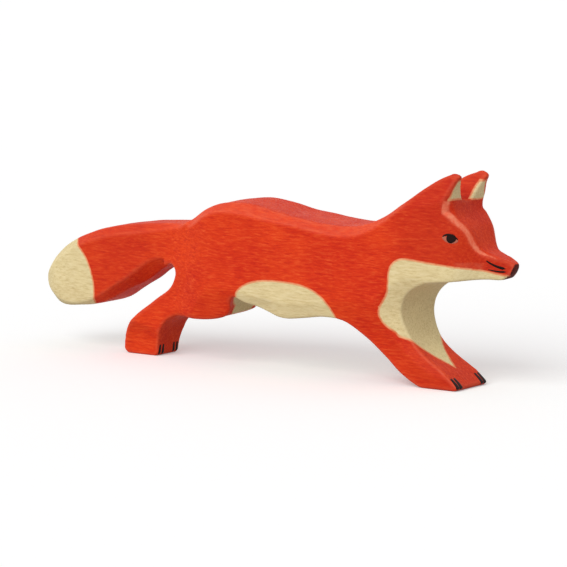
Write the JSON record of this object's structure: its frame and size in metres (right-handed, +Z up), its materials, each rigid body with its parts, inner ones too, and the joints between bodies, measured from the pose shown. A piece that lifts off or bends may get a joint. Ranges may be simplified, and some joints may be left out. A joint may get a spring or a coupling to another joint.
{
  "type": "fox figurine",
  "caption": "Running fox figurine carved from plank, with flat flanks, knife-cut facets, a red coat and a cream bib, belly and tail tip. Stands on the flat soles of its feet.",
  "frame": {"origin": "on the floor below the middle of the figure's length, on its middle plane", "axes": "+X towards the nose, +Y towards the fox's left flank, +Z up"},
  "size_m": [0.1694, 0.0232, 0.0613],
  "materials": {
    "red_coat": "thin red paint with the wood grain showing through",
    "cream_coat": "thin cream paint with the wood grain showing through",
    "black_marks": "black brush strokes"
  },
  "bodies": {
    "root": {"torso": "red_coat", "head": "red_coat", "right_ear": "red_coat", "left_ear": "red_coat", "tail": "red_coat", "forelegs": "red_coat", "hind_legs": "red_coat", "bib": "cream_coat", "belly_patch": "cream_coat", "tail_tip": "cream_coat", "right_ear_lining": "cream_coat", "left_ear_lining": "cream_coat", "nose": "black_marks", "right_eye": "black_marks", "left_eye": "black_marks", "right_mouth_lines": "black_marks", "left_mouth_lines": "black_marks", "right_fore_claws": "black_marks", "left_fore_claws": "black_marks", "right_hind_claws": "black_marks", "left_hind_claws": "black_marks"}
  },
  "joints": []
}
